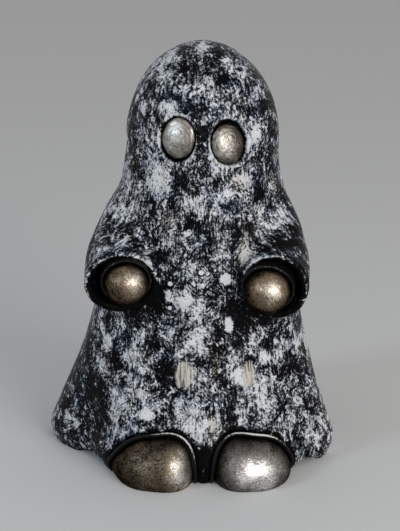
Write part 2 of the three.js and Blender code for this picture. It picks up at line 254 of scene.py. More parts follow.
def sleeve_line(sleeve, steps):
    """Points down the middle of the sleeve, from its shoulder to its mouth."""
    shoulder, mouth = on_robe(sleeve["shoulder"]), on_robe(sleeve["mouth"])
    pull = (mouth - shoulder).length * sleeve_ease
    slope = Vector((shoulder_slope.x * sleeve["side"], shoulder_slope.y, shoulder_slope.z))
    return geometry.interpolate_bezier(
        shoulder, shoulder + slope * pull, mouth - facing_of(sleeve) * pull, mouth, steps + 1
    )


def oval_tube(line, sides, size, facing=None):
    """A closed tube along a line. size(share) gives half its width and half its height on the way."""
    last = len(line) - 1

    def place(angle, ring):
        i = min(max(ring - 1, 0), last)
        if ring == 0 or ring == last + 2:
            return line[i].copy()
        ahead = facing or (line[min(i + 1, last)] - line[max(i - 1, 0)]).normalized()
        sideways = ahead.cross(Vector((0, 0, 1))).normalized()
        upright = sideways.cross(ahead)
        half, tall = size(i / last)
        return line[i] + sideways * (half * math.sin(angle)) + upright * (tall * math.cos(angle))

    return ball_to(place, sides, last + 2)


def between(a, b, share):
    return a + (b - a) * share


def sleeve_tube(sleeve):
    def size(share):
        ease = share * share * (3 - 2 * share)
        return [between(shoulder_width, sleeve[key], ease) / 2 for key in ("width", "height")]

    return oval_tube(sleeve_line(sleeve, 36), 64, size)


def hand_middle(sleeve):
    hand = sleeve["hand"]
    inward = Vector((-sleeve["side"] * hand["inward"], 0, hand["rise"]))
    return on_robe(sleeve["mouth"]) + facing_of(sleeve) * hand["reach"] + inward


def arm_radius(sleeve, margin):
    return sleeve["hand"]["diameter"] / 2 + slack + arm_wall + margin


def arm_tube(sleeve, margin):
    """Roll of clay in the sleeve, from under the shoulder to the ring round the hand."""
    wrist = hand_middle(sleeve) - facing_of(sleeve) * cup_depth
    start = sleeve_line(sleeve, 100)[round(100 * arm_start)]
    bend = wrist - facing_of(sleeve) * arm_bend
    handles = between(start, bend, 2 / 3), between(wrist, bend, 2 / 3)
    line = geometry.interpolate_bezier(start, *handles, wrist, 20)
    thick = arm_radius(sleeve, margin)
    return oval_tube(line, 56, lambda share: (thick, thick))


def mouth_hollow(sleeve):
    """Hollow of the mouth, narrowing from the lip to the arm."""
    facing = facing_of(sleeve)
    inner = hand_middle(sleeve) - facing * (3 * cup_depth + sleeve["hand"]["reach"])
    outer = on_robe(sleeve["mouth"]) + facing
    snug = arm_radius(sleeve, slack)

    def size(share):
        return [between(snug, sleeve[key] / 2 - sleeve_wall, math.sqrt(share)) for key in ("width", "height")]

    return oval_tube([inner.lerp(outer, i / 10) for i in range(11)], 64, size, facing)


def mouth_lip(sleeve):
    """Rolled edge of the mouth, spun as a round ring and then drawn to the mouth's oval."""
    facing = facing_of(sleeve)
    sideways = facing.cross(Vector((0, 0, 1))).normalized()
    upright = sideways.cross(facing)
    middle = on_robe(sleeve["mouth"]) - facing * lip_radius * 0.5
    half = sleeve["width"] / 2 - sleeve_wall * 0.5
    tall = sleeve["height"] / 2 - sleeve_wall * 0.5
    ring = 10
    bm = bmesh.new()
    bmesh.ops.create_circle(bm, segments=16, radius=lip_radius)
    bmesh.ops.translate(bm, verts=bm.verts, vec=(ring, 0, 0))
    bmesh.ops.rotate(bm, verts=bm.verts, cent=(0, 0, 0), matrix=Matrix.Rotation(math.pi / 2, 3, "X"))
    bmesh.ops.spin(
        bm, geom=bm.edges[:], cent=(0, 0, 0), axis=(0, 0, 1), angle=2 * math.pi, steps=64, use_merge=True
    )
    for v in bm.verts:
        angle = math.atan2(v.co.y, v.co.x)
        out = math.hypot(v.co.x, v.co.y) - ring
        v.co = (
            middle
            + sideways * ((half + out) * math.cos(angle))
            + upright * ((tall + out) * math.sin(angle))
            + facing * v.co.z
        )
    return bm


# Eye sockets, shallow ovals pressed into the face, each at an angle, a height and a tilt
socket = {"width": 10.1, "height": 12.5, "depth": 2.2, "flare": 1.08}
eyes = {"right": (-21, 96.4, -4), "left": (22, 95.6, 6)}


def eye_place(side):
    """Takes local +Z to the way out of the face, and the origin to the robe's outer face."""
    angle, height, tilt = eyes[side]
    angle = math.radians(angle)
    step = 0.01
    across = robe_point(angle + step, height) - robe_point(angle - step, height)
    along = robe_point(angle, height + 1) - robe_point(angle, height - 1)
    outward = across.cross(along).normalized()
    sideways = Vector((0, 0, 1)).cross(outward).normalized()
    upright = outward.cross(sideways)
    turn = Matrix((sideways, upright, outward)).transposed().to_4x4()
    return Matrix.Translation(robe_point(angle, height)) @ turn @ Matrix.Rotation(math.radians(tilt), 4, "Z")


def eye_socket(side):
    """Cutter for a socket, which stands 2 mm out of the face."""
    bm = bmesh.new()
    bmesh.ops.create_cone(
        bm,
        cap_ends=True,
        segments=64,
        radius1=1,
        radius2=socket["flare"],
        depth=socket["depth"] + 2,
        matrix=Matrix.Translation((0, 0, 1 - socket["depth"] / 2)),
    )
    bmesh.ops.scale(bm, verts=bm.verts, vec=(socket["width"] / 2, socket["height"] / 2, 1))
    bmesh.ops.transform(bm, verts=bm.verts, matrix=eye_place(side))
    return bm


def round_socket(points, side):
    """How far each point is from a socket's middle, as a share of its size, and if it is near the face."""
    inward = np.array(eye_place(side).inverted())
    local = points @ inward[:3, :3].T + inward[:3, 3]
    share = np.hypot(local[:, 0] / socket["width"], local[:, 1] / socket["height"]) * 2
    return share, np.abs(local[:, 2]) < 4


# Feet, flattened eggs with a flat sole, set behind the hem's front by sink and apart by the tongue of the hem
right_foot = {
    "side": -1,
    "width": 24.5,
    "length": 20,
    "height": 12.4,
    "middle": 3.4,
    "sink": 3,
    "splay": -17,
    "lean": -6,
    "point": 0.5,
    "blunt": 0.5,
}
left_foot = {
    "side": 1,
    "width": 22.3,
    "length": 20.4,
    "height": 12.3,
    "middle": 3.4,
    "sink": 3.3,
    "splay": 12,
    "lean": 10,
    "point": 0.2,
    "blunt": 0.45,
}
feet = {"right": right_foot, "left": left_foot}
roll_thick = 1.3
arch_gap = 0.45
tongue = {"x": 4, "width": 0.5}


def foot_place(foot, margin=0):
    """Takes a ball of radius 1 to the foot, swollen by a margin."""
    splay, lean = math.radians(foot["splay"]), math.radians(foot["lean"])
    half = math.hypot(foot["width"] / 2 * math.cos(splay), foot["length"] / 2 * math.sin(splay))
    inner = tongue["width"] / 2 + 2 * slack + roll_thick + arch_gap
    x = tongue["x"] + foot["side"] * (inner + half)
    face = robe_point(math.atan2(x - hem["shift"], hem["ahead"]), foot["middle"])
    middle = Vector((x, face.y + foot["sink"], foot["middle"]))
    size = (foot["width"] / 2 + margin, foot["length"] / 2 + margin, foot["height"] - foot["middle"] + margin)
    return (
        Matrix.Translation(middle)
        @ Matrix.Rotation(splay, 4, "Z")
        @ Matrix.Rotation(lean, 4, "Y")
        @ Matrix.Diagonal((*size, 1))
    )


def fullness(foot, x):
    """How much fuller than an oval the foot is at a place from -1 to 1: blunt inside, pointed outside."""
    outward = foot["side"] * x
    return 1 - foot["point"] * outward**2 if outward > 0 else 1 + foot["blunt"] * outward**2


def egg(foot, margin=0):
    bm = bmesh.new()
    bmesh.ops.create_icosphere(bm, subdivisions=6, radius=1)
    for v in bm.verts:
        full = fullness(foot, v.co.x)
        v.co.y *= full
        v.co.z *= full
    bmesh.ops.transform(bm, verts=bm.verts, matrix=foot_place(foot, margin))
    return bm


def arch_line(foot, margin):
    """Line on the robe's face that goes over a foot at a margin, from under the table to under the table."""
    to_foot = foot_place(foot, margin).inverted()
    middle = foot_place(foot).translation
    centre = math.atan2(middle.x - hem["shift"], -middle.y)

    def edge(low, high, inside):
        for _ in range(40):
            halfway = (low + high) / 2
            low, high = (halfway, high) if inside(halfway) else (low, halfway)
        return low

    def within(angle, height):
        point = to_foot @ robe_point(angle, height)
        full = fullness(foot, max(min(point.x, 1), -1))
        return Vector((point.x, point.y / full, point.z / full)).length < 1

    start, end = (
        centre + way * edge(0, math.pi / 2, lambda step: within(centre + way * step, foot["middle"]))
        for way in (-1, 1)
    )
    points = []
    for i in range(41):
        angle = between(start, end, (1 - math.cos(math.pi * i / 40)) / 2)
        height = edge(foot["middle"], 2 * foot["height"], lambda z: within(angle, z))
        points.append(robe_point(angle, height))
    for share in (0.5, 0, -0.8):
        points.insert(0, robe_point(start, foot["middle"] * share))
        points.append(robe_point(end, foot["middle"] * share))
    return points


def even_line(points, count):
    """The same line with its points evenly spaced."""
    lengths = [0]
    for a, b in zip(points, points[1:]):
        lengths.append(lengths[-1] + (b - a).length)
    found = []
    for i in range(count):
        at = lengths[-1] * i / (count - 1)
        k = min(np.searchsorted(lengths, at, side="right"), len(points) - 1)
        found.append(points[k - 1].lerp(points[k], (at - lengths[k - 1]) / (lengths[k] - lengths[k - 1])))
    return found


def roll_tube(foot, thick):
    """Coil of a thickness along the line over the foot's arch."""
    line = even_line(arch_line(foot, roll_thick / 2 + arch_gap), 90)
    last = len(line) - 1

    def place(angle, ring):
        i = min(max(ring - 1, 0), last)
        if ring == 0 or ring == last + 2:
            return line[i].copy()
        ahead = (line[min(i + 1, last)] - line[max(i - 1, 0)]).normalized()
        outward = Vector((line[i].x - hem["shift"], line[i].y, 0)).normalized()
        sideways = ahead.cross(outward).normalized()
        outward = sideways.cross(ahead)
        radius = thick / 2
        return line[i] + sideways * (radius * math.sin(angle)) + outward * (radius * math.cos(angle))

    return ball_to(place, 16, last + 2)


# Low hollows under the hem, where it is lifted off the table: angle, length and rise
hem_scoops = [(-67, 13, 1.8), (65, 9, 2.0)]
scoop_reach = 11.5


def hem_scoop(angle, length, rise):
    turn = Matrix.Rotation(math.radians(angle), 4, "Z")
    size = Matrix.Diagonal((length / 2, scoop_reach, rise, 1))
    bm = bmesh.new()
    edge = Matrix.Translation(robe_point(math.radians(angle), 0))
    bmesh.ops.create_icosphere(bm, subdivisions=4, radius=1, matrix=edge @ turn @ size)
    return bm


def table_block():
    bm = bmesh.new()
    bmesh.ops.create_cube(bm, size=400, matrix=Matrix.Translation((0, 0, -200)))
    return bm


def points_of(mesh):
    flat = np.empty(len(mesh.vertices) * 3, np.float32)
    mesh.vertices.foreach_get("co", flat)
    return flat.reshape(-1, 3).astype(float)


def normals_of(mesh):
    flat = np.empty(len(mesh.vertices) * 3, np.float32)
    mesh.vertex_normals.foreach_get("vector", flat)
    return flat.reshape(-1, 3).astype(float)


def move_points(mesh, points):
    mesh.vertices.foreach_set("co", points.astype(np.float32).ravel())
    mesh.update()


def away_from(points, line):
    """Distance of each point from a line of several stretches."""
    nearest = np.full(len(points), np.inf)
    line = [np.array(p) for p in line]
    for a, b in zip(line, line[1:]):
        along = np.clip((points - a) @ (b - a) / ((b - a) @ (b - a)), 0, 1)
        nearest = np.minimum(nearest, np.linalg.norm(points - a - along[:, None] * (b - a), axis=1))
    return nearest


def knead(mesh, depth, size):
    """Uneven hand-worked surface: lumps and dents of a depth and size."""

    def swell(place):
        return noise.noise(Vector(place)) + 0.5 * noise.noise(Vector(place * 2.1))

    points = points_of(mesh)
    swells = np.array([swell(p / size) for p in points])
    move_points(mesh, points + normals_of(mesh) * (swells * depth)[:, None])


def fading(distance, full, gone):
    """1 up to a distance of full, falling to 0 at gone."""
    return np.clip((gone - distance) / (gone - full), 0, 1)


def ridge(distance, at, spread):
    """1 at a distance, falling off to both sides."""
    return np.exp(-(((distance - at) / spread) ** 2))


def off_robe(points):
    """How far each point lies out from the robe's face."""
    face = np.array([robe_point(math.atan2(x - hem["shift"], -y), z) for x, y, z in points])
    return np.hypot(points[:, 0], points[:, 1]) - np.hypot(face[:, 0], face[:, 1])


def smooth_seams(mesh, rounds):
    """Smooths the clay over the seams between the sleeves and the robe, as a wet finger does."""
    points = points_of(mesh)
    close = np.zeros(len(points))
    body = np.abs(off_robe(points))
    for sleeve in sleeves.values():
        line = sleeve_line(sleeve, 12)
        tube = np.abs(away_from(points, line) - (sleeve["width"] + shoulder_width) / 4)
        mouth = away_from(points, [line[-1], line[-1] + facing_of(sleeve)])
        at_seam = fading(body + tube, full=2.5, gone=8)
        clear_of_mouth = fading(-mouth, full=-15, gone=-12)
        close = np.maximum(close, at_seam * clear_of_mouth)
    edges = np.empty(len(mesh.edges) * 2, np.int32)
    mesh.edges.foreach_get("vertices", edges)
    a, b = edges.reshape(-1, 2).T
    count = np.bincount(edges, minlength=len(points))
    for _ in range(rounds):
        for axis in range(3):
            column = points[:, axis]
            total = np.bincount(a, column[b], len(points)) + np.bincount(b, column[a], len(points))
            points[:, axis] += close * (total / count - column)
    move_points(mesh, points)


def raise_rims(mesh, rise):
    """Lifts a soft rim of clay round each eye socket, pushed up when the eye was pressed in."""
    points = points_of(mesh)
    lift = np.zeros(len(points))
    for side in eyes:
        share, near = round_socket(points, side)
        lift += rise * ridge(share, at=1.16, spread=0.1) * near
    move_points(mesh, points + normals_of(mesh) * lift[:, None])


robe = lump("robe_and_sleeves", robe_skin(inset=0, sides=144, ring_gap=2))
for name, sleeve in sleeves.items():
    tube = work(
        lump(f"{name}_tube", sleeve_tube(sleeve)),
        [
            ("DIFFERENCE", lump("mouth", mouth_hollow(sleeve))),
            ("DIFFERENCE", lump("channel", arm_tube(sleeve, slack))),
            ("UNION", lump("lip", mouth_lip(sleeve))),
        ],
    )
    work(robe, [("UNION", tube)])
for side in eyes:
    work(robe, [("DIFFERENCE", lump("socket", eye_socket(side)))])
for foot in feet.values():
    work(robe, [("DIFFERENCE", lump("arch", egg(foot, arch_gap)))])
    work(robe, [("DIFFERENCE", lump("groove", roll_tube(foot, roll_thick + 2 * slack)))])
for scoop in hem_scoops:
    work(robe, [("DIFFERENCE", lump("scoop", hem_scoop(*scoop)))])
work(robe, voxel=0.6, smoothing=2)
smooth_seams(robe.data, rounds=50)
raise_rims(robe.data, rise=0.45)
knead(robe.data, depth=0.22, size=9)
hollow = lump("hollow", robe_skin(inset=wall, sides=72, ring_gap=5))
work(robe, [("DIFFERENCE", hollow), ("DIFFERENCE", lump("table", table_block()))])

sharp_rim = math.radians(50)


def put(piece, slot, material, *nodes):
    """Takes a finished piece to metres, paints it and sets it on its body in place of its CAD nodes."""
    mesh = piece.data
    mesh.transform(Matrix.Scale(mm, 4))
    mesh.materials.clear()
    mesh.materials.append(material)
    mesh.polygons.foreach_set("material_index", [0] * len(mesh.polygons))
    mesh.polygons.foreach_set("use_smooth", [True] * len(mesh.polygons))
    mesh.set_sharp_from_angle(angle=sharp_rim)
    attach(piece, "root")
    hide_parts(*nodes)


def keep(mesh, name, values):
    """Stores a number for each point, for a material to read."""
    mesh.attributes.new(name, "FLOAT", "POINT").data.foreach_set("value", values.astype(np.float32))


# Patches of the front where the brush left more white, or less. Each is how far to the ghost's left, how
# high, half its width, half its height, and how much more white is there.
patches = [
    (-5, 116.5, 3.6, 2.2, 0.8),
    (-8.5, 114, 2.8, 2.6, 0.6),
    (3.5, 119, 3, 2, 0.8),
    (10.5, 115, 3.4, 3, 0.6),
    (16.5, 112.5, 2.4, 3.2, 0.6),
    (0.5, 111, 4, 1.8, 0.6),
    (-6, 110.5, 3, 2.6, 0.4),
    (-12.5, 104.5, 2, 3.6, 0.7),
    (19, 107.5, 2, 3.4, 0.6),
    (3.5, 115, 3.4, 2.6, -0.7),
    (9, 111.5, 3, 1.8, -0.8),
    (-11, 108.5, 3, 3.2, -0.6),
    (-2, 114.5, 2.6, 2.2, -0.6),
    (21, 104, 2, 3.4, -0.6),
    (-5, 107.5, 5.5, 1.2, -0.5),
    (-6, 104.5, 4.4, 2.4, 0.6),
    (18.5, 97.5, 2.4, 5.4, 0.6),
    (3, 101, 1.8, 1.6, 0.6),
    (-18, 84, 2, 3.4, 0.7),
    (-19.5, 74, 3.4, 3.8, 0.6),
    (15, 85, 1.8, 2.6, 0.7),
    (25.5, 73.5, 2.4, 4, 0.7),
    (27, 65, 9, 10, -0.36),
    (-23, 65, 8, 10, -0.25),
    (3.5, 78, 3.8, 3.2, 0.3),
    (11, 81, 3.6, 3.2, 0.4),
    (-2.5, 85, 3.4, 3, -0.5),
    (1, 72.5, 3.6, 4.4, -0.6),
    (19.5, 80, 2.6, 4.4, -0.6),
    (8, 84.5, 2.8, 2.8, -0.5),
    (-9, 63.5, 2, 8, -0.5),
    (-25.5, 28.5, 3.2, 3, 0.9),
    (-16.5, 31, 3.2, 4.2, 0.4),
    (-3, 20.5, 2.6, 2.2, 0.4),
    (1, 17.5, 2.4, 2.4, 0.2),
    (4, 12, 4, 5, -0.5),
    (31.5, 35, 1.8, 4.4, 0.8),
    (20.5, 25, 2.6, 3.2, 0.6),
    (25.5, 24.5, 1.8, 4.4, 0.5),
    (28.5, 15, 2.8, 3.4, 0.4),
    (14, 19.5, 2.4, 2.6, 0.4),
    (-29.5, 11, 4.4, 5.4, 0.5),
    (-33, 20, 4, 5, 0.3),
    (-21, 32.5, 2.8, 4.2, -0.7),
    (-10, 31, 2.8, 4.4, -0.5),
    (6.5, 38.5, 3.2, 4, -0.6),
    (5.5, 23, 3.6, 4.4, -0.7),
    (22.5, 39, 3, 4.2, -0.4),
    (-18.5, 25, 3, 4.2, -0.4),
]
# How far in mm the edges of the patches wander, over what length, and the seed of it
patch_wander = {"by": 1.3, "over": 1.7, "seed": 3}


def patchiness(points):
    """How much more white, or less, lies on each point. A patch's edge wanders, as a brush leaves it."""
    noise.seed_set(patch_wander["seed"])
    wander = np.array([noise.noise_vector(Vector(p / patch_wander["over"])) for p in points])
    wandered = points + patch_wander["by"] * wander
    more = np.zeros(len(points))
    for x, height, half, tall, change in patches:
        away = np.hypot((wandered[:, 0] - x) / half, (wandered[:, 2] - height) / tall)
        near = fading(away, full=0.2, gone=1.1)
        more += change * near * near * (3 - 2 * near)
    in_front = points[:, 1] < 0
    return more * in_front


def shade(mesh):
    """Measures for the paint: bare clay and painted shade, ridges and painted highlights, and patchiness."""
    points = points_of(mesh)
    normals = normals_of(mesh)
    keep(mesh, "patchy", patchiness(points))
    below_face = points[:, 2] < 90
    bare_and_shaded = fading(off_robe(points), full=-2.6, gone=-1.6) * below_face
    # More white on fold ridges, as a dry brush leaves it, and less in fold valleys, a painted shade
    ridges_and_highlights = np.clip([fold_reach(math.atan2(x, -y), z) for x, y, z in points], -1, 1)
    for sleeve in sleeves.values():
        facing = np.array(facing_of(sleeve))
        middle = np.array(on_robe(sleeve["mouth"]))
        rim = sleeve["height"] / 2
        away = points - middle
        ahead = away @ facing
        across = away - ahead[:, None] * facing
        up = np.hypot(across[:, 1], across[:, 2])
        off = np.hypot(across[:, 0] / sleeve["width"], up / sleeve["height"]) * 2
        at_mouth = (ahead > -14) * (ahead < 3)
        faces_in = (normals * across).sum(1) < 0.3 * np.linalg.norm(across, axis=1)
        low = np.clip(0.3 - away[:, 2] / rim, 0, 1)
        # Painted highlight: a thin white line along the crest of each lip, on its upper part only
        lip = ridge(off, at=0.93, spread=0.035) * (ahead > -0.6) * at_mouth
        ridges_and_highlights = np.maximum(ridges_and_highlights, 3 * lip * (1 - low))
        # Bare clay inside each mouth, reaching further out along the lower lip as painted shade under the hand
        inside = 0.8 * fading(off - 0.09 * low, full=0.88, gone=0.96) * at_mouth * faces_in
        # Painted shade: black on the body under each mouth, where the sleeve shades it
        belly = [middle + np.array((x, 3, -rim)) for x in (-rim * 0.6, 0, rim * 0.6)]
        shade_under_mouth = 0.4 * fading(away_from(points, belly), full=1.5, gone=5)
        # Painted shade: black in the crease between each sleeve and the middle of the body
        inward = middle + np.array((-sleeve["side"] * rim * 1.02, 1, 0))
        crease = [inward + np.array((0, 0, z)) for z in (-rim * 0.7, rim * 1.6)]
        shade_in_crease = 0.3 * fading(away_from(points, crease), full=0.6, gone=3.2)
        bare_and_shaded = np.maximum.reduce([bare_and_shaded, inside, shade_under_mouth, shade_in_crease])
    for foot in feet.values():
        line = arch_line(foot, roll_thick / 2 + arch_gap)
        bare_and_shaded = np.maximum(bare_and_shaded, fading(away_from(points, line), full=0.8, gone=2.4))
    for side in eyes:
        share, near = round_socket(points, side)
        bare_and_shaded = np.maximum(bare_and_shaded, fading(share, full=0.94, gone=1.0) * near)
        # Painted highlight on the raised rim round each socket
        ridges_and_highlights += 2.4 * ridge(share, at=1.08, spread=0.06) * near
    keep(mesh, "bare_and_shaded", bare_and_shaded)
    keep(mesh, "ridges_and_highlights", ridges_and_highlights)


shade(robe.data)


def link(tree, socket, value):
    """Sets a socket to a value, or joins it to another node's output."""
    if isinstance(value, bpy.types.NodeSocket):
        tree.links.new(value, socket)
    else:
        socket.default_value = value


def node(tree, kind, inputs, **settings):
    made = tree.nodes.new("ShaderNode" + kind)
    for name, value in settings.items():
        setattr(made, name, value)
    for key, value in inputs.items():
        link(tree, made.inputs[key], value)
    return made


def figure(tree, operation, a, b=0.0, c=0.0):
    return node(tree, "Math", {0: a, 1: b, 2: c}, operation=operation).outputs[0]


def grain(tree, where, size, detail=2.0, rough=0.5, warp=0.0):
    """Cloudy noise from 0 to 1, with clouds of a size in millimetres."""
    inputs = {
        "Vector": where,
        "Scale": 1 / (size * mm),
        "Detail": detail,
        "Roughness": rough,
        "Distortion": warp,
    }
    return node(tree, "TexNoise", inputs).outputs[0]


def ramp(tree, value, low, high):
    """0 below low, 1 above high, smooth between."""
    inputs = {"Value": value, "From Min": low, "From Max": high}
    return node(tree, "MapRange", inputs, interpolation_type="SMOOTHSTEP").outputs["Result"]


def tint(tree, share, a, b):
    """Colour a where the share is 0, and b where it is 1."""
    return node(tree, "Mix", {0: share, 6: a, 7: b}, data_type="RGBA").outputs[2]


def stored(tree, name):
    return node(tree, "Attribute", {}, attribute_name=name).outputs["Fac"]


def finish(name, paint, depth, **fixed):
    """A surface whose colour, roughness and relief, depth mm high, come from paint, and the rest as given."""
    material = bpy.data.materials.new(name)
    material.use_nodes = True
    tree = material.node_tree
    shader = tree.nodes["Principled BSDF"]
    colour, roughness, relief = paint(tree, node(tree, "TexCoord", {}).outputs["Object"])
    link(tree, shader.inputs["Base Color"], colour)
    link(tree, shader.inputs["Roughness"], roughness)
    bump = node(tree, "Bump", {"Height": relief, "Distance": depth * mm})
    link(tree, shader.inputs["Normal"], bump.outputs["Normal"])
    for key, value in fixed.items():
        shader.inputs[key.replace("_", " ")].default_value = value
    return material


def mix(tree, share, a, b):
    return node(tree, "Mix", {0: share, 2: a, 3: b}).outputs[0]


def vector(tree, operation, a, b=(0, 0, 0)):
    return node(tree, "VectorMath", {0: a, 1: b}, operation=operation).outputs[0]


def brushed_down(tree, place, lean, drawn_out):
    """Coordinates wound round the robe at a lean and drawn out along it. A grain on them makes strokes."""
    middle = (2 * mm, 0, 0)
    girth = 28 * mm
    height = node(tree, "SeparateXYZ", {0: place}).outputs["Z"]
    flat = vector(tree, "MULTIPLY", vector(tree, "SUBTRACT", place, middle), (1, 1, 0))
    turn = figure(tree, "MULTIPLY", height, math.tan(math.radians(lean)) / girth)
    turned = node(tree, "VectorRotate", {"Vector": flat, "Angle": turn}, rotation_type="Z_AXIS").outputs[0]
    fall = figure(tree, "MULTIPLY", height, 1 / drawn_out / girth)
    falling = node(tree, "CombineXYZ", {"Z": fall}).outputs[0]
    wound = vector(tree, "ADD", vector(tree, "NORMALIZE", turned), falling)
    return vector(tree, "MULTIPLY", wound, (girth, girth, girth))


# Drops that fell off the brush: place, half width and half height
drops = [
    ((3.2, -21.9, 60.0), 0.75, 0.75),
    ((3.7, -22.2, 56.3), 0.5, 0.8),
    ((-5.3, -21.3, 56.6), 0.7, 0.7),
    ((-5.4, -22.0, 49.8), 0.6, 0.6),
]
# Daubs put on by themselves, and painted light: place, half width, half height and how much more white is
# there
daubs = [
    ((10.0, -21.2, 57.8), 2.4, 2.4, 1.2),
    ((-0.2, -22.4, 52.6), 1.5, 2.2, 0.6),
    ((10.9, -22.0, 44.9), 1.7, 3.0, 1.4),
    ((-5.9, -21.5, 53.4), 1.4, 2.2, 0.8),
    ((-12.3, -25.2, 19.2), 2.6, 2.2, 1.3),
    ((-23.4, -14.2, 36.6), 3.0, 3.4, 0.8),
    ((20.8, -19.9, 34.5), 2.4, 3.0, 0.7),
    ((13.8, -23.4, 29.5), 3.4, 3.4, 0.6),
    ((-8.5, -16.7, 85.4), 5.4, 5.4, 0.55),
    # Painted highlight along the fold that runs up from the ghost's left hand
    ((15.2, -18.7, 65.6), 2.6, 10.0, 0.35),
    ((1.0, -26.0, 20.0), 13.0, 13.0, 0.24),
    ((1.0, -22.0, 45.0), 12.0, 12.0, 0.18),
    ((-37.0, -7.0, 10.0), 6.0, 7.0, 0.4),
    ((4.0, -29.0, 4.0), 3.0, 10.0, -1.2),
    # Painted shade: less white down the ghost's right side of the skirt, the side turned from the lamp
    ((-32.0, -8.0, 20.0), 22.0, 24.0, -0.28),
    ((-30.0, -8.0, 66.0), 10.0, 10.0, -0.2),
]
# Places combed down with a nearly dry brush: place, half width and half height
combed = [((-1.5, -24.7, 31.1), 3.4, 5.2), ((16.6, -22.7, 30.6), 2.4, 5.0)]
# Places where the white has yellowed, the first a painted highlight on a fold: place, half width and half
# height
yellowed_and_lit = [
    ((15.2, -18.7, 64.0), 3.4, 15.0),
    ((-5.5, -20.0, 76.0), 5.0, 6.0),
    ((14.0, -19.0, 85.0), 4.5, 4.0),
    ((-11.5, -19.0, 56.0), 2.6, 12.0),
]


def closeness(tree, place, middle, half, tall):
    """1 in the middle of an oval, falling to 0 at its edge."""
    deep = max(half, 3)
    away = vector(tree, "SUBTRACT", place, tuple(Vector(middle) * mm))
    away = vector(tree, "DIVIDE", away, (half * mm, deep * mm, tall * mm))
    length = node(tree, "VectorMath", {0: away}, operation="LENGTH").outputs["Value"]
    return figure(tree, "SUBTRACT", 1, length)


def dabbed_paint(tree, place):
    """White dabbed over black clay with a stiff brush, in feathery ticks that lie closer in patches."""

    def choice(size, share):
        return ramp(tree, grain(tree, place, size), 0.49 + share, 0.51 + share)

    def ticks(lean, drawn_out, width):
        return grain(tree, brushed_down(tree, place, lean, drawn_out), width, rough=0.6)

    # The ticks lean one way, the other, or run straight down. On the crown the brush was dabbed end on.
    leaning = mix(tree, choice(6, 0), ticks(-35, 1.6, 0.75), ticks(35, 1.6, 0.75))
    stroke = mix(tree, choice(11, 0.05), leaning, ticks(0, 3, 0.62))
    tilt = {"Vector": place, "Rotation": (0.3, 0.6, 0.2), "Scale": (1, 0.8, 0.6)}
    stippled = grain(tree, node(tree, "Mapping", tilt).outputs[0], 0.75, rough=0.6)
    height = node(tree, "SeparateXYZ", {0: place}).outputs["Z"]
    crown_line = figure(tree, "MULTIPLY_ADD", grain(tree, place, 4, detail=3), 12 * mm, height)
    stroke = mix(tree, ramp(tree, crown_line, 111 * mm, 112 * mm), stroke, stippled)
    # Layers of brush marks, each with its weight, from fine to coarse
    layers = [
        (stroke, 1.9),
        (grain(tree, place, 0.6, rough=0.65), 1.5),
        (ticks(0, 9, 0.5), 0.9),
        (grain(tree, place, 4.6, detail=4, rough=0.62, warp=0.4), 2.2),
        (grain(tree, place, 12), 1.2),
    ]
    plain = 0.36 - sum(weight / 2 for _, weight in layers)
    # More white on fold ridges and at painted highlights, less in fold valleys as painted shade
    layers.append((stored(tree, "ridges_and_highlights"), 0.2))
    layers.append((stored(tree, "patchy"), 0.5))
    layers.append((ramp(tree, grain(tree, place, 2.2, warp=0.3), 0.6, 0.66), 0.45))
    # Bare clay, and painted shade under and beside the sleeves, take the white away
    score = figure(tree, "MULTIPLY_ADD", stored(tree, "bare_and_shaded"), -0.8, plain)
    for layer, weight in layers:
        score = figure(tree, "MULTIPLY_ADD", layer, weight, score)
    # Daubs, painted light, combed and yellowed places and drops lie over them, all but drops with ragged edges
    wobble = node(tree, "TexNoise", {"Vector": place, "Scale": 1 / (0.9 * mm), "Detail": 3.0}).outputs[1]
    wobble = vector(tree, "MULTIPLY", vector(tree, "SUBTRACT", wobble, (0.5, 0.5, 0.5)), (1.4 * mm,) * 3)
    wobbled = vector(tree, "ADD", place, wobble)
    for *where, more in daubs:
        zone = ramp(tree, closeness(tree, wobbled, *where), 0, 0.7)
        score = figure(tree, "MULTIPLY_ADD", zone, more, score)
    warm = ramp(tree, grain(tree, brushed_down(tree, place, 0, 4), 5), 0.6, 0.78)
    combing = figure(tree, "MULTIPLY_ADD", ticks(0, 18, 0.36), 2.6, -0.55)
    for where in combed:
        zone = ramp(tree, closeness(tree, wobbled, *where), 0, 0.45)
        score = mix(tree, zone, score, figure(tree, "MULTIPLY_ADD", score, 0.25, combing))
        warm = figure(tree, "MAXIMUM", warm, zone)
    for where in yellowed_and_lit:
        zone = figure(tree, "MULTIPLY", ramp(tree, closeness(tree, wobbled, *where), 0, 0.6), 0.5)
        warm = figure(tree, "MAXIMUM", warm, zone)
    for where in drops:
        score = figure(tree, "MULTIPLY_ADD", ramp(tree, closeness(tree, place, *where), 0, 0.2), 2, score)
    # Where the white is thin, the clay darkens it to a blue or brown grey, and where it is thick, it is chalky
    thickness = ramp(tree, score, -0.15, 1.3)
    cool = ramp(tree, grain(tree, place, 7), 0.5, 0.62)
    wash = tint(tree, cool, (0.048, 0.054, 0.066, 1), (0.056, 0.078, 0.12, 1))
    wash = tint(tree, warm, wash, (0.095, 0.082, 0.066, 1))
    chalky = ramp(tree, grain(tree, place, 0.5, rough=0.6), 0.35, 0.65)
    white = tint(tree, chalky, (0.6, 0.62, 0.66, 1), (0.8, 0.81, 0.83, 1))
    white = tint(tree, warm, white, (0.62, 0.585, 0.53, 1))
    grey = tint(tree, ramp(tree, thickness, 0.06, 0.5), (0.002, 0.002, 0.0022, 1), wash)
    colour = tint(tree, ramp(tree, thickness, 0.28, 0.95), grey, white)
    return colour, figure(tree, "MULTIPLY_ADD", thickness, 0.2, 0.32), thickness


